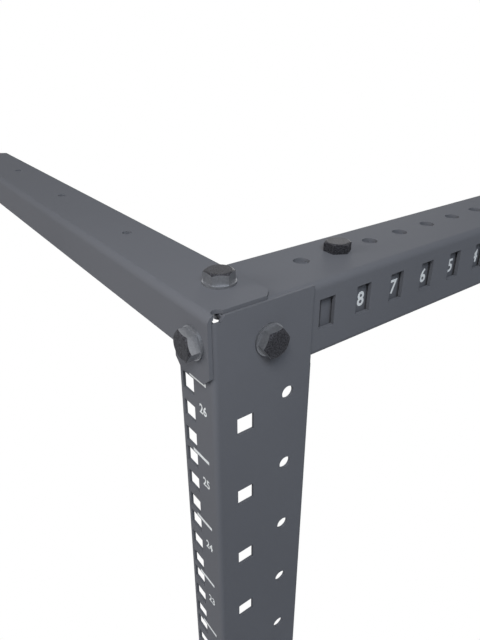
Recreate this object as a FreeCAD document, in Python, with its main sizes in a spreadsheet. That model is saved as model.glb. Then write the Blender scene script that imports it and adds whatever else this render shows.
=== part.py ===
import FreeCAD, Part
import os
import Sketcher

# Four post open frame rack, 26 units high, with depth rails that telescope
# Millimetres. X to the right, Y to the rear, Z up. The middle of the floor under the rack is the origin.

doc = FreeCAD.newDocument("OpenFrameRack")

# Sizes
SIZES = [
    # Whole rack
    ("unit_count", 26, "rack units between the top and the bottom frame"),
    ("unit_pitch", 44.45, "height of one rack unit"),
    ("hole_spacing", 465.1, "equipment holes, left column to right column"),
    ("rack_depth", 584.0, "front post face to rear post face"),
    ("foot_height", 24.0, "floor to the underside of the base frame"),
    ("line_drop", 37.0, "top face of the frame down to the first unit line"),
    # Posts
    ("post_sheet", 1.5, "post sheet thickness"),
    ("post_face", 28.4, "width of the drilled face"),
    ("post_web", 57.8, "depth of the side web"),
    ("post_lip", 12.0, "return lip at the rear of the web"),
    ("post_bend", 2.5, "outer bend radius of the post"),
    ("web_drop", 1.6, "post end below the top face of the frame"),
    ("hole_inset", 21.7, "equipment hole centre from the side face"),
    ("square_hole", 9.5, "equipment hole, across"),
    ("hole_first", 6.35, "unit line to the first hole centre"),
    ("hole_step", 15.875, "hole centre to the next one"),
    ("notch_room", 2.5, "notch in the lip, beyond the rail that passes it"),
    ("notch_edge", 1.4, "web edge set back beside the notch"),
    ("fold_room", 0.3, "room between the post end and the fold of the beam"),
    ("cage_hole", 9.5, "square hole in the side web, across"),
    ("cage_back", 16.85, "square side hole behind the face"),
    ("cage_rise", 19.9, "square side hole above the unit line"),
    ("tie_hole", 7.0, "round hole in the side web, diameter"),
    ("tie_back", 42.25, "round side hole behind the face"),
    ("tie_rise", 27.2, "round side hole above the unit line"),
    # Corner bolts
    ("bolt_hole", 8.5, "clearance hole for a corner bolt"),
    ("flap_bolt_in", 11.7, "flap bolt from the side face"),
    ("flap_bolt_up", 20.5, "flap bolt above the unit line"),
    ("side_bolt_back", 29.85, "side bolt behind the post face"),
    ("side_bolt_up", 16.75, "side bolt above the unit line"),
    ("frame_bolt_in", 25.8, "upright bolt from the side face"),
    ("frame_bolt_back", 21.4, "upright bolt behind the post face"),
    # Cross beams
    ("beam_sheet", 2.0, "beam sheet thickness"),
    ("beam_bend", 4.0, "outer bend radius of the beam"),
    ("beam_shelf", 36.3, "depth of the flat sheet over the rails"),
    ("beam_face", 23.4, "height of the upright face"),
    ("flap_drop", 34.5, "height of the face with its end flap"),
    ("flap_width", 28.3, "inner edge of the flap from the side face"),
    ("beam_shy", 0.4, "flap edge in from the side face"),
    ("flap_corner", 4.5, "bevel on the outer corner of the flap"),
    ("flap_toe", 3.5, "bevel on the inner corner of the flap"),
    ("shelf_corner", 4.5, "bevel on the outer corner of the flat sheet"),
    ("shelf_gap", 0.4, "gap between the flat sheet and the side web"),
    ("relief_width", 6.0, "corner relief, diameter"),
    ("relief_in", 1.25, "corner relief, centre from the side face"),
    ("relief_back", 5.9, "corner relief, centre behind the beam face"),
    ("relief_slope", 2.3, "bevel from the trimmed post end to the top of its web"),
    ("brush_hole", 5.5, "accessory hole in the flat sheet, diameter"),
    ("brush_first", 137.6, "first accessory hole, right of the middle"),
    ("brush_pitch", 105.4, "accessory hole to the next one"),
    ("brush_count", 4, "accessory holes in a row"),
    ("brush_back", 21.5, "accessory holes behind the beam face"),
    # Depth rails
    ("rail_sheet", 2.0, "rail sheet thickness"),
    ("rail_bend", 3.5, "outer bend radius of the rails"),
    ("rail_height", 39.3, "outer rail, height"),
    ("rail_flange", 44.4, "outer rail, width of the upper flange"),
    ("rail_lip", 15.0, "outer rail, width of the lower lip, clear of the equipment space"),
    ("rail_gap", 49.0, "bare length of inner rail, from the outer rail to the rear sleeve"),
    ("rail_inset", 6.0, "rail end behind the post face"),
    ("slide_side", 1.5, "room between the two webs"),
    ("slide_below", 1.0, "room between the two lower lips"),
    ("inner_flange", 32.0, "inner rail, width of the upper flange"),
    ("inner_lip", 10.0, "inner rail, width of the lower lip"),
    ("inner_start", 66.0, "front end of the inner rail behind the front post face"),
    ("inner_corner", 5.0, "bevel on the front corners of the inner rail"),
    ("window_end", 17.0, "last window to the rear end of the outer rail, at least"),
    ("window_pitch", 25.4, "window to window, and lock hole to lock hole"),
    ("window_first", 55.5, "rail end to the first window"),
    ("window_width", 10.2, "window, along the rail"),
    ("window_height", 16.0, "window, height"),
    ("window_drop", 9.0, "top of the rail to the top of the window"),
    ("lock_hole", 8.5, "lock bolt hole, diameter"),
    ("lock_in", 25.9, "lock holes from the outer face of the rail"),
    ("lock_first", 66.5, "rail end to the first lock hole"),
    ("clamp_front", 1, "lock hole that takes the front lock bolt, counted from 0"),
    ("clamp_rear", 1, "lock hole that takes the rear lock bolt, counted from the last"),
    ("sleeve_length", 49.0, "rear sleeve, length"),
    # Levelling feet
    ("pad_width", 38.0, "foot pad, diameter"),
    ("pad_rim", 4.0, "foot pad, height of the rim"),
    ("pad_height", 9.0, "foot pad, height in the middle"),
    ("pad_crown", 20.0, "top of the pad, diameter"),
    ("stem_width", 8.0, "foot stem, diameter"),
    ("stem_reach", 16.0, "stem above the underside of the base frame"),
    ("collar_width", 15.0, "collar under the base frame, diameter"),
    ("collar_height", 6.5, "collar under the base frame, height"),
]

sheet = doc.addObject("Spreadsheet::Sheet", "Sizes")
for row, (alias, value, note) in enumerate(SIZES, 1):
    sheet.set(f"A{row}", note)
    sheet.set(f"B{row}", str(value))
    sheet.setAlias(f"B{row}", alias)
doc.recompute()


def word(text):
    """Put the name of the sheet in front of every size that an expression uses."""
    result, name = "", ""
    for letter in text + " ":
        if letter.isalnum() or letter in "_.":
            name += letter
        else:
            known = name and name[0].isalpha() and letter != "("
            result += ("Sizes." + name if known else name) + letter
            name = ""
    return result.strip()


RACK_WIDTH = "(hole_spacing + 2 * hole_inset)"
MIDDLE = "(foot_height + line_drop + unit_count * unit_pitch / 2)"
TOP = "(foot_height + 2 * line_drop + unit_count * unit_pitch)"
POST_REACH = "(line_drop - web_drop)"


def bind(thing, **values):
    for path, text in values.items():
        thing.setExpression(path.replace("__", "."), word(text))


def place(thing, across="0", back="0", up="0"):
    bind(thing, Placement__Base__x=across, Placement__Base__y=back, Placement__Base__z=up)


def new_body(name, across="0", back="0", up="0"):
    body = doc.addObject("PartDesign::Body", name)
    body.Label = name
    place(body, across, back, up)
    return body


def new_sketch(body, plane, lift=None):
    """A sketch on one of the body's own origin planes, raised along its normal if asked."""
    sketch = body.newObject("Sketcher::SketchObject", body.Name + "_sketch")
    for feature in body.Origin.OriginFeatures:
        if feature.Role == plane:
            sketch.AttachmentSupport = [(feature, "")]
    sketch.MapMode = "FlatFace"
    if lift:
        bind(sketch, AttachmentOffset__Base__z=lift)
    return sketch


def hold(sketch, index, end, across, up):
    """Keep one point of the sketch at bound distances from the sketch origin."""
    for kind, axis, text in (("DistanceX", -2, across), ("DistanceY", -1, up)):
        if text == "0":
            sketch.addConstraint(Sketcher.Constraint("PointOnObject", index, end, axis))
        else:
            number = sketch.addConstraint(Sketcher.Constraint(kind, -1, 1, index, end, 1.0))
            sketch.setExpression(f"Constraints[{number}]", word(text))


def draw_loop(sketch, corners):
    """A closed outline through corners, each given as a pair of expressions."""
    spots = [FreeCAD.Vector(evaluate(a), evaluate(u), 0) for a, u in corners]
    first = sketch.GeometryCount
    for i, spot in enumerate(spots):
        sketch.addGeometry(Part.LineSegment(spot, spots[(i + 1) % len(spots)]), False)
    for i, (across, up) in enumerate(corners):
        following = first + (i + 1) % len(corners)
        sketch.addConstraint(Sketcher.Constraint("Coincident", first + i, 2, following, 1))
        hold(sketch, first + i, 1, across, up)


def draw_box(sketch, left, low, right, high):
    draw_loop(sketch, [(left, low), (right, low), (right, high), (left, high)])


def draw_circle(sketch, across, up, width):
    centre = FreeCAD.Vector(evaluate(across), evaluate(up), 0)
    index = sketch.addGeometry(
        Part.Circle(centre, FreeCAD.Vector(0, 0, 1), evaluate(width) / 2), False)
    hold(sketch, index, 3, across, up)
    number = sketch.addConstraint(Sketcher.Constraint("Diameter", index, evaluate(width)))
    sketch.setExpression(f"Constraints[{number}]", word(width))


def evaluate(text):
    return float(sheet.evalExpression(word(text)))


def pad(body, sketch, length, reverse=False, both_ways=False):
    feature = body.newObject("PartDesign::Pad", body.Name + "_pad")
    feature.Profile = sketch
    feature.Reversed = reverse
    feature.Midplane = both_ways
    bind(feature, Length=length)
    sketch.Visibility = False
    return feature


def pocket(body, sketch, length, reverse=False):
    feature = body.newObject("PartDesign::Pocket", body.Name + "_pocket")
    feature.Profile = sketch
    feature.Reversed = reverse
    bind(feature, Length=length)
    sketch.Visibility = False
    return feature


def repeat(body, feature, sketch, axis, pitch, count):
    """Repeat a pocket at a fixed pitch along an axis of its own sketch."""
    row = body.newObject("PartDesign::LinearPattern", body.Name + "_row")
    row.Originals = [feature]
    row.Direction = (sketch, [axis])
    bind(row, Length=f"({count} - 1) * {pitch}", Occurrences=count)
    body.Tip = row
    return row


def round_bends(body, direction, bends):
    """Round sheet bends: every edge along direction whose middle passes through a bend's spot."""
    doc.recompute()
    for radius, spots in bends:
        names, sharp = [], body.Tip
        for number, edge in enumerate(sharp.Shape.Edges, 1):
            middle = edge.BoundBox.Center
            along = [edge.BoundBox.XLength, edge.BoundBox.YLength, edge.BoundBox.ZLength]
            if along["XYZ".index(direction)] < 0.9 * max(along):
                continue
            flat = [v for name, v in zip("XYZ", middle) if name != direction]
            for a, b in spots:
                if abs(flat[0] - evaluate(a)) < 0.01 and abs(flat[1] - evaluate(b)) < 0.01:
                    names.append(f"Edge{number}")
        fillet = body.newObject("PartDesign::Fillet", body.Name + "_bend")
        fillet.Base = (sharp, names)
        bind(fillet, Radius=radius)
        body.Tip = fillet
        doc.recompute()


# Post
# One folded channel: a drilled face, a side web and a rear lip that is notched at both ends
POST_LENGTH = f"(unit_count * unit_pitch + 2 * {POST_REACH})"
post = new_body("post_front_left", f"0 - {RACK_WIDTH} / 2", "0 - rack_depth / 2",
                "foot_height + web_drop")
profile = new_sketch(post, "XY_Plane")
draw_loop(profile, [
    ("0", "0"), ("post_face", "0"), ("post_face", "post_sheet"), ("post_sheet", "post_sheet"),
    ("post_sheet", "post_web - post_sheet"), ("post_lip", "post_web - post_sheet"),
    ("post_lip", "post_web"), ("0", "post_web")])
pad(post, profile, POST_LENGTH)
round_bends(post, "Z", [
    ("post_bend", [("0", "0"), ("0", "post_web")]),
    ("post_bend - post_sheet", [("post_sheet", "post_sheet"),
                                ("post_sheet", "post_web - post_sheet")])])
FOLD = "(beam_bend - web_drop + fold_room)"
BEHIND = "(relief_back - beam_sheet + fold_room)"
for lift, inward, reverse in (("0", "+", True), (POST_LENGTH, "-", False)):
    notch = new_sketch(post, "XY_Plane", lift if lift != "0" else None)
    draw_loop(notch, [
        ("0", "post_web - notch_edge"), ("post_sheet", "post_web - notch_edge"),
        ("post_sheet", "post_web - post_bend"), ("post_lip + 1", "post_web - post_bend"),
        ("post_lip + 1", "post_web + 1"), ("0", "post_web + 1")])
    pocket(post, notch, "beam_sheet + rail_height - web_drop + notch_room", reverse)
    trim = new_sketch(post, "YZ_Plane")
    draw_loop(trim, [(back, f"{lift} {inward} ({depth})") for back, depth in (
        ("-1", FOLD), (BEHIND, FOLD), (BEHIND, "relief_slope"), (f"{BEHIND} + relief_slope", "0"),
        (f"{BEHIND} + relief_slope", "-1"), ("-1", "-1"))])
    pocket(post, trim, "post_face + 1", True)

holes = new_sketch(post, "XZ_Plane")
for step in ("0", "hole_step", "2 * hole_step"):
    middle = f"{POST_REACH} + hole_first + {step}"
    draw_box(holes, "hole_inset - square_hole / 2", f"{middle} - square_hole / 2",
             "hole_inset + square_hole / 2", f"{middle} + square_hole / 2")
cut = pocket(post, holes, "post_sheet + 1")
repeat(post, cut, holes, "V_Axis", "unit_pitch", "unit_count")

holes = new_sketch(post, "YZ_Plane")
draw_box(holes, "cage_back - cage_hole / 2", f"{POST_REACH} + cage_rise - cage_hole / 2",
         "cage_back + cage_hole / 2", f"{POST_REACH} + cage_rise + cage_hole / 2")
draw_circle(holes, "tie_back", f"{POST_REACH} + tie_rise", "tie_hole")
cut = pocket(post, holes, "post_sheet + 1", True)
repeat(post, cut, holes, "V_Axis", "unit_pitch", "unit_count")

bolts = new_sketch(post, "YZ_Plane")
for height in (f"{POST_REACH} - side_bolt_up", f"{POST_LENGTH} - {POST_REACH} + side_bolt_up"):
    draw_circle(bolts, "side_bolt_back", height, "bolt_hole")
pocket(post, bolts, "post_sheet + 1", True)
bolts = new_sketch(post, "XZ_Plane")
for height in (f"{POST_REACH} - flap_bolt_up", f"{POST_LENGTH} - {POST_REACH} + flap_bolt_up"):
    draw_circle(bolts, "flap_bolt_in", height, "bolt_hole")
pocket(post, bolts, "post_sheet + 1")

# Cross beam
# An angle whose face carries a flap at each end, with the corners cut so that the bends stay clear
beam = new_body("top_beam_front", "0", "0 - rack_depth / 2 - beam_sheet", f"{TOP} - flap_drop")
profile = new_sketch(beam, "YZ_Plane")
draw_loop(profile, [
    ("0", "0"), ("beam_sheet", "0"), ("beam_sheet", "flap_drop - beam_sheet"),
    ("beam_shelf", "flap_drop - beam_sheet"), ("beam_shelf", "flap_drop"), ("0", "flap_drop")])
pad(beam, profile, f"{RACK_WIDTH} - 2 * beam_shy", both_ways=True)
round_bends(beam, "X", [
    ("beam_bend", [("0", "flap_drop")]),
    ("beam_bend - beam_sheet", [("beam_sheet", "flap_drop - beam_sheet")])])
HALF = f"{RACK_WIDTH} / 2"
face = new_sketch(beam, "XZ_Plane")
draw_loop(face, [("0", "0"), (f"{HALF} - flap_width + flap_toe", "0"),
                 (f"{HALF} - flap_width", "flap_toe"),
                 (f"{HALF} - flap_width", "flap_drop - beam_face"), ("0", "flap_drop - beam_face")])
draw_loop(face, [(f"{HALF} - beam_shy - flap_corner", "0"), (f"{HALF} + 1", "0"),
                 (f"{HALF} + 1", "flap_corner"), (f"{HALF} - beam_shy", "flap_corner")])
draw_circle(face, f"{HALF} - flap_bolt_in", "flap_drop - line_drop + flap_bolt_up", "bolt_hole")
face_cut = pocket(beam, face, "beam_sheet + 1")
shelf = new_sketch(beam, "XY_Plane")
END = f"{HALF} - post_sheet - shelf_gap"
draw_loop(shelf, [
    (END, "relief_back"), (f"{HALF} + 1", "relief_back"), (f"{HALF} + 1", "beam_shelf + 1"),
    (f"{END} - shelf_corner", "beam_shelf + 1"), (f"{END} - shelf_corner", "beam_shelf"),
    (END, "beam_shelf - shelf_corner")])
draw_circle(shelf, f"{HALF} - frame_bolt_in", "frame_bolt_back + beam_sheet", "bolt_hole")
shelf_cut = pocket(beam, shelf, "flap_drop + 1", True)
relief = new_sketch(beam, "XY_Plane", "flap_drop + 1")
draw_circle(relief, f"{HALF} - relief_in", "relief_back", "relief_width")
relief_cut = pocket(beam, relief, "beam_bend + 1")
doc.recompute()
halves = beam.newObject("PartDesign::Mirrored", "top_beam_front_halves")
halves.Originals = [face_cut, shelf_cut, relief_cut]
for feature in beam.Origin.OriginFeatures:
    if feature.Role == "YZ_Plane":
        halves.MirrorPlane = (feature, [""])
beam.Tip = halves
row = new_sketch(beam, "XY_Plane")
draw_circle(row, "brush_first - (brush_count - 1) * brush_pitch", "brush_back", "brush_hole")
cut = pocket(beam, row, "flap_drop + 1", True)
repeat(beam, cut, row, "H_Axis", "brush_pitch", "brush_count")


# Depth rails
# Channels that open towards the middle. The inner rail carries the depth marks.
def channel(name, back, length, height, flange, lip, across, top):
    """A folded channel along Y. Its top face lies at top, below the top of the frame."""
    body = new_body(name, f"0 - {RACK_WIDTH} / 2 + {across}", f"{back} - rack_depth / 2",
                    f"{TOP} - {top} - {height}")
    outline = new_sketch(body, "XZ_Plane")
    draw_loop(outline, [
        ("0", "0"), (lip, "0"), (lip, "rail_sheet"), ("rail_sheet", "rail_sheet"),
        ("rail_sheet", f"{height} - rail_sheet"), (flange, f"{height} - rail_sheet"),
        (flange, height), ("0", height)])
    pad(body, outline, length, reverse=True)
    round_bends(body, "Y", [
        ("rail_bend", [("0", "0"), ("0", height)]),
        ("rail_bend - rail_sheet", [("rail_sheet", "rail_sheet"),
                                    ("rail_sheet", f"{height} - rail_sheet")])])
    return body


def bolt_pair(body, side_back, frame_back, across, low_side):
    """The two corner bolt holes: one through the web and one through the upper flange."""
    web = new_sketch(body, "YZ_Plane")
    draw_circle(web, side_back, low_side, "bolt_hole")
    pocket(body, web, "rail_sheet + 1", True)
    flange = new_sketch(body, "XY_Plane", "rail_height + 1")
    draw_circle(flange, across, frame_back, "bolt_hole")
    pocket(body, flange, "rail_height / 2")


def lock_row(body, across, first, pitch, count):
    row = new_sketch(body, "XY_Plane", "rail_height + 1")
    draw_circle(row, across, first, "lock_hole")
    cut = pocket(body, row, "rail_height / 2")
    repeat(body, cut, row, "V_Axis", pitch, count)


RAIL_LENGTH = "(rack_depth - 2 * rail_inset - sleeve_length - rail_gap)"
SPAN = f"({RAIL_LENGTH} - window_first - window_width - window_end)"
WINDOWS = f"(floor({SPAN} / window_pitch) + 1)"
SIDE_LEVEL = "(side_bolt_up - line_drop + beam_sheet + rail_height)"
outer = channel("top_rail_outer_left", "rail_inset", RAIL_LENGTH, "rail_height", "rail_flange",
                "rail_lip", "post_sheet", "beam_sheet")
windows = new_sketch(outer, "YZ_Plane")
draw_box(windows, "window_first", "rail_height - window_drop - window_height",
         "window_first + window_width", "rail_height - window_drop")
cut = pocket(outer, windows, "rail_sheet + 1", True)
repeat(outer, cut, windows, "H_Axis", "window_pitch", WINDOWS)
lock_row(outer, "lock_in", "lock_first", "window_pitch", WINDOWS)
bolt_pair(outer, "side_bolt_back - rail_inset", "frame_bolt_back - rail_inset",
          "frame_bolt_in - post_sheet", SIDE_LEVEL)

INNER_HEIGHT = "(rail_height - 2 * rail_sheet - slide_below)"
INNER_LENGTH = "(rack_depth - rail_inset - inner_start)"
INNER_WALL = "(post_sheet + rail_sheet + slide_side)"
inner = channel("top_rail_inner_left", "inner_start", INNER_LENGTH, INNER_HEIGHT, "inner_flange",
                "inner_lip", INNER_WALL, "(beam_sheet + rail_sheet)")
corners = new_sketch(inner, "YZ_Plane")
draw_loop(corners, [("0", "0"), ("inner_corner", "0"), ("0", "inner_corner")])
draw_loop(corners, [("0", f"{INNER_HEIGHT} - inner_corner"), ("inner_corner", INNER_HEIGHT),
                    ("0", INNER_HEIGHT)])
pocket(inner, corners, "rail_sheet", True)
lock_row(inner, "lock_in - rail_sheet - slide_side",
         "rail_inset + lock_first + clamp_front * window_pitch - inner_start",
         f"(({WINDOWS} - 1 - clamp_front - clamp_rear) * window_pitch)", "2")
bolt_pair(inner, f"{INNER_LENGTH} - side_bolt_back + rail_inset",
          f"{INNER_LENGTH} - frame_bolt_back + rail_inset",
          f"frame_bolt_in - {INNER_WALL}", f"{SIDE_LEVEL} - rail_sheet - slide_below")

sleeve = channel("top_sleeve_left", "rack_depth - rail_inset - sleeve_length", "sleeve_length",
                 "rail_height", "rail_flange", "rail_lip", "post_sheet", "beam_sheet")
bolt_pair(sleeve, "sleeve_length - side_bolt_back + rail_inset",
          "sleeve_length - frame_bolt_back + rail_inset", "frame_bolt_in - post_sheet", SIDE_LEVEL)

# Levelling foot
# The stem passes up through the base frame in place of an upright corner bolt, and stands in the pad
def turned(name, outline):
    """A round piece, turned about the upright axis of the foot."""
    body = new_body(name, f"0 - {RACK_WIDTH} / 2 + frame_bolt_in",
                    "frame_bolt_back - rack_depth / 2")
    section = new_sketch(body, "XZ_Plane")
    draw_loop(section, outline)
    turn = body.newObject("PartDesign::Revolution", name + "_turn")
    turn.Profile = section
    turn.ReferenceAxis = (section, ["V_Axis"])
    turn.Angle = 360
    section.Visibility = False
    return body


foot_pad = turned("foot_pad_front_left", [
    ("0", "0"), ("pad_width / 2", "0"), ("pad_width / 2", "pad_rim"),
    ("pad_crown / 2", "pad_height"), ("stem_width / 2", "pad_height"),
    ("stem_width / 2", "pad_rim"), ("0", "pad_rim")])
foot_stem = turned("foot_stem_front_left", [
    ("0", "pad_rim"), ("stem_width / 2", "pad_rim"),
    ("stem_width / 2", "foot_height - collar_height"),
    ("collar_width / 2", "foot_height - collar_height"), ("collar_width / 2", "foot_height"),
    ("stem_width / 2", "foot_height"), ("stem_width / 2", "foot_height + stem_reach"),
    ("0", "foot_height + stem_reach")])
doc.recompute()

# The other corners are mirror images
pieces = {body.Label: body for body in (post, beam, outer, inner, sleeve, foot_pad, foot_stem)}


def mirror(source, label, normal, level=None):
    """A mirror image of a finished piece, across the middle of the rack."""
    image = doc.addObject("Part::Mirroring", label)
    image.Label = label
    image.Source = pieces[source]
    image.Normal = normal
    if level:
        bind(image, Base__z=level)
    pieces[label] = image


ACROSS = FreeCAD.Vector(1, 0, 0)
ALONG = FreeCAD.Vector(0, 1, 0)
UP = FreeCAD.Vector(0, 0, 1)
mirror("post_front_left", "post_front_right", ACROSS)
mirror("post_front_left", "post_rear_left", ALONG)
mirror("post_rear_left", "post_rear_right", ACROSS)
mirror("top_beam_front", "top_beam_rear", ALONG)
mirror("top_beam_front", "base_beam_front", UP, MIDDLE)
mirror("top_beam_rear", "base_beam_rear", UP, MIDDLE)
for name in ("rail_outer", "rail_inner", "sleeve"):
    mirror(f"top_{name}_left", f"top_{name}_right", ACROSS)
    mirror(f"top_{name}_left", f"base_{name}_left", UP, MIDDLE)
    mirror(f"base_{name}_left", f"base_{name}_right", ACROSS)
for name in ("foot_pad", "foot_stem"):
    mirror(f"{name}_front_left", f"{name}_front_right", ACROSS)
    mirror(f"{name}_front_left", f"{name}_rear_left", ALONG)
    mirror(f"{name}_rear_left", f"{name}_rear_right", ACROSS)
doc.recompute()

# Check and export
for thing in doc.Objects:
    if "Invalid" in thing.State or "Error" in thing.State:
        raise SystemExit(f"{thing.Name} is {thing.State}")
os.makedirs("parts", exist_ok=True)
for label, piece in pieces.items():
    shape = piece.Shape
    if shape.isNull() or not shape.isValid() or len(shape.Solids) != 1:
        raise SystemExit(f"{label} is not one valid solid")
    shape.exportStep(f"parts/{label}.step")
    box = shape.BoundBox
    print(f"{label}: {box.XLength:.2f} x {box.YLength:.2f} x {box.ZLength:.2f}, "
          f"{shape.Volume / 1000:.1f} cm3, {len(shape.Faces)} faces")
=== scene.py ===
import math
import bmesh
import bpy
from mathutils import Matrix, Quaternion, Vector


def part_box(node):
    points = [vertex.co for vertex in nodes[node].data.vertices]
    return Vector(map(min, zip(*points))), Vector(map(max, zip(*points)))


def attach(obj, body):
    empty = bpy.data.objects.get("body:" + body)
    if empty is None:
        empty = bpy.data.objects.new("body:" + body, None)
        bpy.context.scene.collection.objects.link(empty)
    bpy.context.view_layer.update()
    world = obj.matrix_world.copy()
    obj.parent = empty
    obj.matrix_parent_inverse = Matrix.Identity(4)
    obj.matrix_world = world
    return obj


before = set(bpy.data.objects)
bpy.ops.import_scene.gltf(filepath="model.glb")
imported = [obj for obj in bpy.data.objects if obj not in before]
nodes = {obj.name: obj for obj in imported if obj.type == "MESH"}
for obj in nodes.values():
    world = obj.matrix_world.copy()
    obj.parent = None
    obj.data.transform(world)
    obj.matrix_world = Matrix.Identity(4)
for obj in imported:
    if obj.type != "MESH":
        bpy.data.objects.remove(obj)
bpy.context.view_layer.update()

# %% [markdown]
# # An open frame rack, dressed for its picture
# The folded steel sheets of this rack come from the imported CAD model. They keep their shape and place,
# and here they get their powder coat. The small things that the CAD model leaves out are made here: the
# hexagon bolts, the nuts, and the printed lines and numbers. We start with the tools and the sizes that
# several pieces share, all in metres.

MM = 0.001
post_low, post_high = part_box("post_front_right")
SIDE = post_high.x
FRONT = -post_low.y
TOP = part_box("top_beam_front")[1].z
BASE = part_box("base_beam_front")[0].z
UNIT = 44.45 * MM
LINE_DROP = 37 * MM
TOP_LINE = TOP - LINE_DROP
BASE_LINE = BASE + LINE_DROP
UNITS = round((TOP_LINE - BASE_LINE) / UNIT)
SHEET, POST_SHEET, WASHER = 2 * MM, 1.5 * MM, 1.2 * MM
print("units", UNITS, "half width", round(SIDE, 4), "half depth", round(FRONT, 4), "height", round(TOP, 4))

# %% [markdown]
# # Finishes
# A Blender material is a graph of nodes. Written link by link, its sums are hard to read, so one small
# class wraps a socket and lets Python write them: 0.4 + noise * 0.1 adds the Math nodes by itself. Any
# other node comes from the method called node.

# %% The shader sums
class Amount:
    """A value in a material's graph, which can be added, subtracted and multiplied."""

    def __init__(self, finish, socket):
        self.finish, self.socket = finish, socket

    def _sum(self, operation, first, second):
        return self.finish.node("ShaderNodeMath", {"operation": operation}, {0: first, 1: second})

    def __add__(self, other):
        return self._sum("ADD", self, other)

    def __radd__(self, other):
        return self._sum("ADD", other, self)

    def __sub__(self, other):
        return self._sum("SUBTRACT", self, other)

    def __rsub__(self, other):
        return self._sum("SUBTRACT", other, self)

    def __mul__(self, other):
        return self._sum("MULTIPLY", self, other)

    def __rmul__(self, other):
        return self._sum("MULTIPLY", other, self)


class Finish:
    """One material and its graph."""

    def __init__(self, name):
        self.material = bpy.data.materials.new(name)
        self.material.use_nodes = True
        self.tree = self.material.node_tree
        self.shader = self.tree.nodes["Principled BSDF"]

    def node(self, kind, settings=None, inputs=None, output=0):
        """Add a node: its settings first, then the values or links of its sockets."""
        made = self.tree.nodes.new(kind)
        for key, value in (settings or {}).items():
            setattr(made, key, value)
        for key, value in (inputs or {}).items():
            if isinstance(value, Amount):
                self.tree.links.new(value.socket, made.inputs[key])
            else:
                made.inputs[key].default_value = value
        return Amount(self, made.outputs[output])

    def place(self):
        """Where a point lies on the piece, in metres."""
        return self.node("ShaderNodeTexCoord", output="Object")

    def noise(self, scale, detail=2.0, where=None):
        return self.node("ShaderNodeTexNoise", None,
                         {"Vector": where or self.place(), "Scale": scale, "Detail": detail}, "Fac")

    def blend(self, share, low, high):
        """A colour between low and high."""
        return self.node("ShaderNodeMix", {"data_type": "RGBA"}, {0: share, 6: low, 7: high}, 2)

    def set(self, **values):
        """Set the shader's own sockets, with a plain value or a link."""
        for key, value in values.items():
            socket = self.shader.inputs[key.replace("_", " ")]
            if isinstance(value, Amount):
                self.tree.links.new(value.socket, socket)
            else:
                socket.default_value = value

    def bump(self, height, distance, strength=1.0):
        normal = self.node("ShaderNodeBump", None,
                           {"Height": height, "Distance": distance, "Strength": strength}, "Normal")
        self.set(Normal=normal)


# %% [markdown]
# The steel has a satin powder coat, which is dark grey with a trace of blue. Powder melts into a skin with
# a fine orange peel, so two noises feed the bump: a soft one about a millimetre wide and a finer grain.
# A very slow noise shifts the tone and the gloss a little, as on any large coated sheet.

# %% Powder coat
def powder_coat(name, dark, light, gloss):
    finish = Finish(name)
    drift = finish.noise(9.0, 3.0)
    grain = finish.noise(2600.0, 2.0)
    peel = finish.noise(700.0, 1.0)
    finish.set(Base_Color=finish.blend(drift * 0.7 + grain * 0.3, dark, light),
               Roughness=gloss + drift * 0.06 + grain * 0.05, Specular_IOR_Level=0.04)
    finish.bump(peel * 0.7 + grain * 0.3, 0.00004, 0.5)
    return finish.material


coat = powder_coat("powder_coat_grey", (0.118, 0.120, 0.132, 1), (0.150, 0.152, 0.165, 1), 0.56)
print("coat nodes", len(coat.node_tree.nodes))

# %% [markdown]
# The bolts are steel with a black oxide, in a lit and a shaded copy of one finish. Their flanks are smooth,
# and their colour is painted lighter as a painted highlight where they catch the light. Their end faces are
# painted near black as painted shade, and mottled from the forging. One noise darkens the colour and roughens
# the same spots.

# %% Black bolts, zinc stems, nylon pads and white ink
def black_oxide(name, dark, light, gloss, contrast, relief):
    """A dark steel finish. The contrast spreads the mottle about its middle, and relief is its depth."""
    finish = Finish(name)
    mottle = finish.noise(1500.0, 3.0)
    spots = (mottle - 0.5) * contrast + 0.5
    finish.set(Base_Color=finish.blend(spots, dark, light), Metallic=0.8, Roughness=gloss + mottle * 0.2)
    finish.bump(mottle, relief, 0.6)
    return finish.material


THREAD_PITCH = 1.25 * MM


def zinc_thread():
    finish = Finish("zinc_thread")
    spot = finish.place()
    rise = finish.node("ShaderNodeSeparateXYZ", None, {0: spot}, "Z")
    thread = finish.node("ShaderNodeMath", {"operation": "SINE"}, {0: rise * (2 * math.pi / THREAD_PITCH)})
    cloud = finish.noise(160.0, 2.0)
    finish.set(Base_Color=finish.blend(cloud, (0.42, 0.42, 0.40, 1), (0.62, 0.61, 0.57, 1)),
               Metallic=0.95, Roughness=0.26 + cloud * 0.15)
    finish.bump(thread, 0.0002, 0.5)
    return finish.material


def moulded_nylon():
    finish = Finish("moulded_nylon")
    grain = finish.noise(900.0, 2.0)
    finish.set(Base_Color=finish.blend(grain, (0.016, 0.016, 0.017, 1), (0.030, 0.030, 0.032, 1)),
               Roughness=0.50 + grain * 0.12)
    finish.bump(grain, 0.00008, 0.5)
    return finish.material


def white_ink():
    finish = Finish("white_ink")
    speck = finish.noise(2200.0, 2.0)
    finish.set(Base_Color=finish.blend(speck, (0.70, 0.71, 0.70, 1), (0.86, 0.87, 0.86, 1)),
               Roughness=0.55 + speck * 0.1)
    return finish.material


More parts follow.
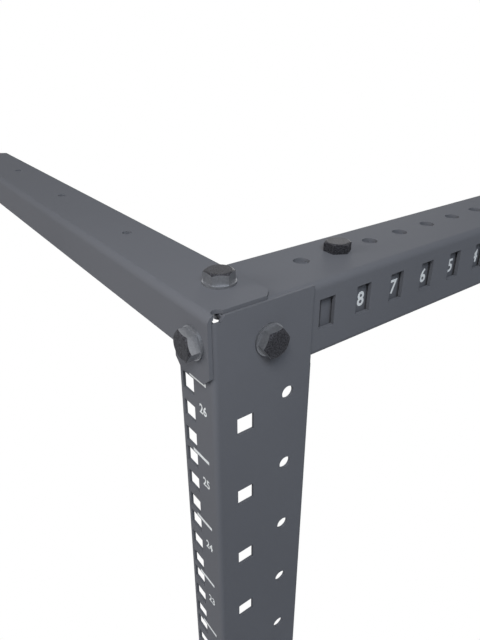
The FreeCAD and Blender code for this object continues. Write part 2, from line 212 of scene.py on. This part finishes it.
# Two copies of one black oxide: the flank copy is painted lighter as a painted highlight, and the face copy
# is painted near black as painted shade.
flank_painted_highlight = black_oxide("oxide_flank_painted_highlight", (0.17, 0.17, 0.18, 1), (0.33, 0.34, 0.36, 1), 0.32, 1.0, 0.00002)
forged_face_painted_shade = black_oxide("oxide_forged_face_painted_shade", (0.002, 0.002, 0.003, 1), (0.07, 0.07, 0.08, 1), 0.48, 2.6,
                     0.00006)
zinc, nylon, ink = zinc_thread(), moulded_nylon(), white_ink()
for label, node in nodes.items():
    finish = nylon if label.startswith("foot_pad") else zinc if label.startswith("foot_stem") else coat
    node.data.materials.clear()
    node.data.materials.append(finish)
print("CAD pieces with a finish", len(nodes))


# %% [markdown]
# # A helper for finished pieces
# Each piece is one mesh whose object stays at the origin. The helper takes a bmesh, writes it to a mesh,
# gives it its finish and lets it ride on the rack, which has one body, called root.

# %% Finished pieces
def finished(name, work, finishes):
    mesh = bpy.data.meshes.new(name)
    work.to_mesh(mesh)
    work.free()
    for finish in finishes:
        mesh.materials.append(finish)
    piece = bpy.data.objects.new(name, mesh)
    bpy.context.scene.collection.objects.link(piece)
    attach(piece, "root")
    print(name, "faces", len(mesh.polygons))


def aim(seat, direction, turn=0.0):
    """The matrix that puts a shape, modelled along +Z from the origin, on its seat along direction."""
    spin = Matrix.Rotation(turn, 4, "Z")
    return Matrix.Translation(seat) @ direction.to_track_quat("Z", "Y").to_matrix().to_4x4() @ spin


# %% [markdown]
# # Hexagon bolts
# A hexagon head is turned off at 30 degrees, so each flat ends in a curved edge and the end face is a
# circle. Points along the six sides drop with their distance from the axis, as on a cone. They are all on
# the surface of the real head, and so the convex hull of these points and the end circle is that head.
# The bolts at the corners stand on a thin washer, and a nut closes each bolt behind the sheets.

# %% One bolt with its nut
HEAD_FLATS, HEAD_HEIGHT, SHANK = 13 * MM, 5.3 * MM, 8 * MM
HEAD_CORNER, FACE_RADIUS = HEAD_FLATS / math.sqrt(3), 0.45 * HEAD_FLATS
HEAD_SLOPE = math.tan(math.radians(30))
WASHER_WIDTH, NUT_HEIGHT, TAIL = 16 * MM, 6.3 * MM, 8.5 * MM


def flat_ring(work, segments, radius, height):
    return bmesh.ops.create_circle(work, segments=segments, radius=radius,
                                   matrix=Matrix.Translation((0, 0, height)))["verts"]


def hexagon_head(work, low, high):
    """A six-sided head, in an empty bmesh, whose end is turned down to a cone of 30 degrees.

    Its turned end gets the second finish of the piece."""
    crown = flat_ring(work, 6, HEAD_CORNER, high)
    sides = list({edge for vert in crown for edge in vert.link_edges})
    bmesh.ops.subdivide_edges(work, edges=sides, cuts=5)
    for vert in work.verts:
        vert.co.z = high - (vert.co.xy.length - FACE_RADIUS) * HEAD_SLOPE
    flat_ring(work, 36, FACE_RADIUS, high)
    flat_ring(work, 6, HEAD_CORNER, low)
    bmesh.ops.convex_hull(work, input=work.verts)
    work.normal_update()
    for face in work.faces:
        face.material_index = int(face.normal.z > 0.5)


def round_bar(work, low, high, width, segments=20):
    bmesh.ops.create_cone(work, cap_ends=True, segments=segments, radius1=width / 2, radius2=width / 2,
                          depth=high - low, matrix=Matrix.Translation((0, 0, (low + high) / 2)))


def add_bolt(work, seat, direction, grip, turn=0.0, washer=WASHER, tail=TAIL):
    """A bolt whose head stands on seat and points along direction, through sheets of thickness grip."""
    part = bmesh.new()
    hexagon_head(part, washer, washer + HEAD_HEIGHT)
    if washer:
        round_bar(part, 0, washer, WASHER_WIDTH, 40)
    round_bar(part, -grip - tail, washer, SHANK)
    round_bar(part, -grip - NUT_HEIGHT, -grip, 2 * HEAD_CORNER, 6)
    bmesh.ops.transform(part, matrix=aim(seat, direction, turn), verts=part.verts)
    mesh = bpy.data.meshes.new("bolt")
    part.to_mesh(mesh)
    part.free()
    work.from_mesh(mesh)
    bpy.data.meshes.remove(mesh)


# %% [markdown]
# Three bolts hold each top corner: one through the flap into the post, one through the side of the post
# into the rail, and one down through the frame into the rail. At the base the levelling foot takes the
# place of the third. The corners mirror the photographed one, so two signs and a level place them all.
# The bolts were tightened by hand, so each corner has its own small turn on top of the photographed one.
# At the rear, the side bolts and the upright ones go through the inner rail too.

# %% Corner bolts
FLAP_IN, FLAP_UP = 11.7 * MM, 20.5 * MM
SIDE_BACK, SIDE_UP = 29.85 * MM, 16.75 * MM
FRAME_IN, FRAME_BACK = 25.8 * MM, 21.4 * MM
FLAP_TURN, SIDE_TURN, FRAME_TURN = math.radians(22), math.radians(35), math.radians(30)
LEFT_TURN, REAR_TURN, BASE_TURN = 0.74, 0.42, 1.0
INNER_RAIL, FRAME_TAIL = 3.5 * MM, 13 * MM
for level, line, sign in (("top", TOP_LINE, 1), ("base", BASE_LINE, -1)):
    for end, y_sign in (("front", -1), ("rear", 1)):
        for side, x_sign in (("left", -1), ("right", 1)):
            work = bmesh.new()
            rear = int(end == "rear")
            shift = LEFT_TURN * (side == "left") + REAR_TURN * rear + BASE_TURN * (level == "base")
            seat = Vector((x_sign * (SIDE - FLAP_IN), y_sign * (FRONT + SHEET), line + sign * FLAP_UP))
            add_bolt(work, seat, Vector((0, y_sign, 0)), SHEET + POST_SHEET, FLAP_TURN + shift)
            seat = Vector((x_sign * SIDE, y_sign * (FRONT - SIDE_BACK), line + sign * SIDE_UP))
            grip = SHEET + POST_SHEET + INNER_RAIL * rear
            add_bolt(work, seat, Vector((x_sign, 0, 0)), grip, SIDE_TURN + shift)
            if level == "top":
                seat = Vector((x_sign * (SIDE - FRAME_IN), y_sign * (FRONT - FRAME_BACK), TOP))
                add_bolt(work, seat, Vector((0, 0, 1)), (2 + rear) * SHEET, FRAME_TURN + shift,
                         tail=FRAME_TAIL)
            # The flanks take the finish painted lighter as a painted highlight, and the turned ends the
            # finish painted near black as painted shade.
            finished(f"corner_bolts_{level}_{end}_{side}", work, [flank_painted_highlight, forged_face_painted_shade])

# %% [markdown]
# Two lock bolts clamp each outer rail on its inner rail, in two of its inch holes. They are taken out and
# put in other holes to set the depth of the rack. They have no washer, and their flanks get the face finish
# painted near black as painted shade too.

# %% Lock bolts
LOCK_IN, LOCK_PLACES, LOCK_TURN = 27.4 * MM, (97.9 * MM, 428.1 * MM), 0.3
RAIL_TOP, RAIL_BASE = TOP - SHEET, BASE + SHEET
for level, height, sign in (("top", RAIL_TOP, 1), ("base", RAIL_BASE, -1)):
    for side, x_sign in (("left", -1), ("right", 1)):
        work = bmesh.new()
        for number, back in enumerate(LOCK_PLACES):
            seat = Vector((x_sign * (SIDE - LOCK_IN), -FRONT + back, height))
            add_bolt(work, seat, Vector((0, 0, sign)), 2 * SHEET, FRAME_TURN + LOCK_TURN * number, washer=0.0)
        # Flanks and ends alike get the finish painted near black as painted shade.
        finished(f"lock_bolts_{level}_{side}", work, [forged_face_painted_shade, forged_face_painted_shade])


# %% [markdown]
# # Printed numbers
# The unit numbers and the depth numbers are printed in white. A text curve gives the shapes of the digits,
# and it is made a mesh before it is scaled and placed, a hair above the paint. Every number gets the scale
# of a standard pair of digits, so that narrow and wide ones match. The curve's offset thickens the strokes.

# %% Numbers and lines in ink
INK_GAP = 0.06 * MM
STROKE_OFFSET = 0.022


def digit_mesh(words):
    curve = bpy.data.curves.new("digits", "FONT")
    curve.body, curve.resolution_u = words, 3
    curve.align_x, curve.align_y = "CENTER", "CENTER"
    curve.offset = STROKE_OFFSET
    text = bpy.data.objects.new("digits", curve)
    bpy.context.scene.collection.objects.link(text)
    mesh = bpy.data.meshes.new_from_object(text)
    bpy.data.objects.remove(text)
    bpy.data.curves.remove(curve)
    return mesh


sample = digit_mesh("00")
pair_width = max(v.co.x for v in sample.vertices) - min(v.co.x for v in sample.vertices)
pair_height = max(v.co.y for v in sample.vertices) - min(v.co.y for v in sample.vertices)
bpy.data.meshes.remove(sample)
print("a pair of digits is", round(pair_width, 3), "by", round(pair_height, 3))


def add_number(work, words, width, height, spot, across, up):
    """Print words at spot, width and height being those of a pair of digits."""
    mesh = digit_mesh(words)
    part = bmesh.new()
    part.from_mesh(mesh)
    middle = (max(v.co.y for v in part.verts) + min(v.co.y for v in part.verts)) / 2
    bmesh.ops.translate(part, vec=(0, -middle, 0), verts=part.verts)
    bmesh.ops.scale(part, vec=(width / pair_width, height / pair_height, 1), verts=part.verts)
    facing = across.cross(up)
    turn = Matrix((across, up, facing)).transposed().to_4x4()
    bmesh.ops.transform(part, matrix=Matrix.Translation(spot + facing * INK_GAP) @ turn, verts=part.verts)
    part.to_mesh(mesh)
    part.free()
    work.from_mesh(mesh)
    bpy.data.meshes.remove(mesh)


def add_line(work, spot, across, up, length, thickness):
    facing = across.cross(up)
    turn = Matrix((across, up, facing)).transposed().to_4x4()
    size = Matrix.Diagonal((length, thickness, 1, 1))
    bmesh.ops.create_grid(work, x_segments=1, y_segments=1, size=0.5,
                          matrix=Matrix.Translation(spot + facing * INK_GAP) @ turn @ size)


# %% [markdown]
# Each post face is ruled at every unit line, and its number stands in the unit above the line. The lines
# run from near the corner almost to the middle of the square holes.

# %% Unit lines and unit numbers
LINE_FROM, LINE_TO, LINE_THICK = 6.5 * MM, 20.3 * MM, 1.9 * MM
NUMBER_IN, NUMBER_UP = 9.7 * MM, 29.65 * MM
NUMBER_WIDTH, NUMBER_HEIGHT = 6.0 * MM, 5.4 * MM
UP = Vector((0, 0, 1))
for end, y_sign in (("front", -1), ("rear", 1)):
    across = Vector((-y_sign, 0, 0))
    for side, x_sign in (("left", -1), ("right", 1)):
        work = bmesh.new()
        for unit in range(UNITS + 1):
            line = BASE_LINE + unit * UNIT
            middle = x_sign * (SIDE - (LINE_FROM + LINE_TO) / 2)
            spot = Vector((middle, y_sign * FRONT, line))
            add_line(work, spot, across, UP, LINE_TO - LINE_FROM, LINE_THICK)
            if unit < UNITS:
                spot = Vector((x_sign * (SIDE - NUMBER_IN), y_sign * FRONT, line + NUMBER_UP))
                add_number(work, str(unit + 1), NUMBER_WIDTH, NUMBER_HEIGHT, spot, across, UP)
        finished(f"unit_marks_{end}_{side}", work, [ink])

# %% [markdown]
# The inner rails carry inch numbers, and one stands behind each window of the outer rail. The photograph
# looks past the front edge of each window, which hides the first digit.

# %% Depth numbers
FIRST_MARK, MARK_PITCH, MARK_HIGH, MARK_LOW = 91.4 * MM, 25.4 * MM, 38, 22
MARK_WIDTH, MARK_TALL, WINDOW_MIDDLE = 10.2 * MM, 8.4 * MM, 18.7 * MM
for level, sign in (("top", 1), ("base", -1)):
    low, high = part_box(f"{level}_rail_outer_right")
    window = high.z - WINDOW_MIDDLE if level == "top" else low.z + WINDOW_MIDDLE
    for side, x_sign in (("left", -1), ("right", 1)):
        low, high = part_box(f"{level}_rail_inner_{side}")
        wall = low.x if side == "left" else high.x
        work = bmesh.new()
        for number in range(MARK_LOW, MARK_HIGH + 1):
            back = FIRST_MARK + (MARK_HIGH - number) * MARK_PITCH
            spot = Vector((wall, -FRONT + back, window))
            add_number(work, str(number), MARK_WIDTH, MARK_TALL, spot, Vector((0, x_sign, 0)), UP)
        finished(f"depth_marks_{level}_{side}", work, [ink])


# %% [markdown]
# # Floor, light and camera
# The floor is pale and plain, and it glows a little for the camera and for reflections alone, so that it
# lights nothing. Seen by the camera, the world is white. The lamps stay at a plain level. A small one hangs
# near the photographed corner, and so the light fades a little along the rail and down the post.

# %% Floor
floor_work = bmesh.new()
bmesh.ops.create_grid(floor_work, x_segments=1, y_segments=1, size=12.0)
floor_mesh = bpy.data.meshes.new("floor")
floor_work.to_mesh(floor_mesh)
floor_work.free()
floor = bpy.data.objects.new("floor", floor_mesh)
bpy.context.scene.collection.objects.link(floor)
paper = Finish("floor_paper")
tooth = paper.noise(40.0, 3.0)
glow = [paper.node("ShaderNodeLightPath", output=f"Is {ray} Ray")
        for ray in ("Camera", "Glossy", "Transmission")]
paper.set(Base_Color=paper.blend(tooth, (0.84, 0.84, 0.84, 1), (0.88, 0.88, 0.88, 1)), Roughness=0.9,
          Emission_Color=paper.blend(glow[0] + glow[1] + glow[2], (0, 0, 0, 1), (1, 1, 1, 1)),
          Emission_Strength=0.3)
floor.data.materials.append(paper.material)

# %% World and lamps
world = bpy.data.worlds.new("studio")
bpy.context.scene.world = world
world.use_nodes = True
sky = world.node_tree
ground = sky.nodes["Background"]
ground.inputs["Color"].default_value = (0.93, 0.96, 1.0, 1)
ground.inputs["Strength"].default_value = 0.2
white = sky.nodes.new("ShaderNodeBackground")
white.inputs["Color"].default_value = (1, 1, 1, 1)
white.inputs["Strength"].default_value = 1.0
rays = sky.nodes.new("ShaderNodeLightPath")
mix = sky.nodes.new("ShaderNodeMixShader")
seen = rays.outputs["Is Camera Ray"]
for ray in ("Is Glossy Ray", "Is Transmission Ray"):
    either = sky.nodes.new("ShaderNodeMath")
    either.operation = "MAXIMUM"
    sky.links.new(seen, either.inputs[0])
    sky.links.new(rays.outputs[ray], either.inputs[1])
    seen = either.outputs[0]
sky.links.new(seen, mix.inputs[0])
sky.links.new(ground.outputs[0], mix.inputs[1])
sky.links.new(white.outputs[0], mix.inputs[2])
sky.links.new(mix.outputs[0], sky.nodes["World Output"].inputs["Surface"])


def soft_lamp(name, spot, target, width, power, tint=(1, 1, 1)):
    data = bpy.data.lights.new(name, "AREA")
    data.size, data.energy, data.color = width, power, tint
    lamp = bpy.data.objects.new(name, data)
    lamp.location = spot
    lamp.rotation_mode = "QUATERNION"
    lamp.rotation_quaternion = (Vector(target) - Vector(spot)).to_track_quat("-Z", "Y")
    bpy.context.scene.collection.objects.link(lamp)
    print(name, power, "W")


soft_lamp("front_lamp", (-0.8, -3.2, 2.2), (0, 0, 0.9), 1.6, 40)
soft_lamp("side_lamp", (2.3, -0.9, 3.4), (0, 0, 1.0), 1.0, 36, (0.74, 0.86, 1.0))
soft_lamp("rear_lamp", (-2.6, 2.9, 1.3), (0, 0, 0.7), 1.6, 48)
soft_lamp("corner_lamp", (SIDE + 0.22, -FRONT - 0.17, TOP + 0.34), (SIDE, -FRONT, TOP - 0.03), 0.15, 1.25)

# %% [markdown]
# The camera was solved from the photograph: the square holes give the scale and the edges give the vanishing
# points. It stands close to the top corner. The photograph shows that corner alone, so the far clip ends
# just behind it, and the distant posts don't show through.

# %% Camera
YAW, PITCH, ROLL = math.radians(36.0756), math.radians(27.5007), math.radians(0.4066)
PHOTO_HEIGHT, FOCAL_PIXELS = 640.0, 534.66
STAND_OUT, STAND_BEFORE, STAND_OVER = 158.91 * MM, 101.83 * MM, 133.37 * MM
data = bpy.data.cameras.new("camera")
data.sensor_fit, data.sensor_height = "VERTICAL", 36.0
data.lens = FOCAL_PIXELS * data.sensor_height / PHOTO_HEIGHT
data.clip_start, data.clip_end = 0.02, 0.53
camera = bpy.data.objects.new("camera", data)
ahead = Vector((-math.cos(YAW) * math.cos(PITCH), math.sin(YAW) * math.cos(PITCH), -math.sin(PITCH)))
camera.rotation_mode = "QUATERNION"
camera.rotation_quaternion = ahead.to_track_quat("-Z", "Y") @ Quaternion((0, 0, 1), -ROLL)
camera.location = Vector((SIDE + STAND_OUT, -FRONT - STAND_BEFORE, TOP_LINE + STAND_OVER))
bpy.context.scene.collection.objects.link(camera)
bpy.context.scene.camera = camera
bpy.context.scene.view_settings.view_transform = "Standard"
print("camera at", [round(v, 4) for v in camera.location])
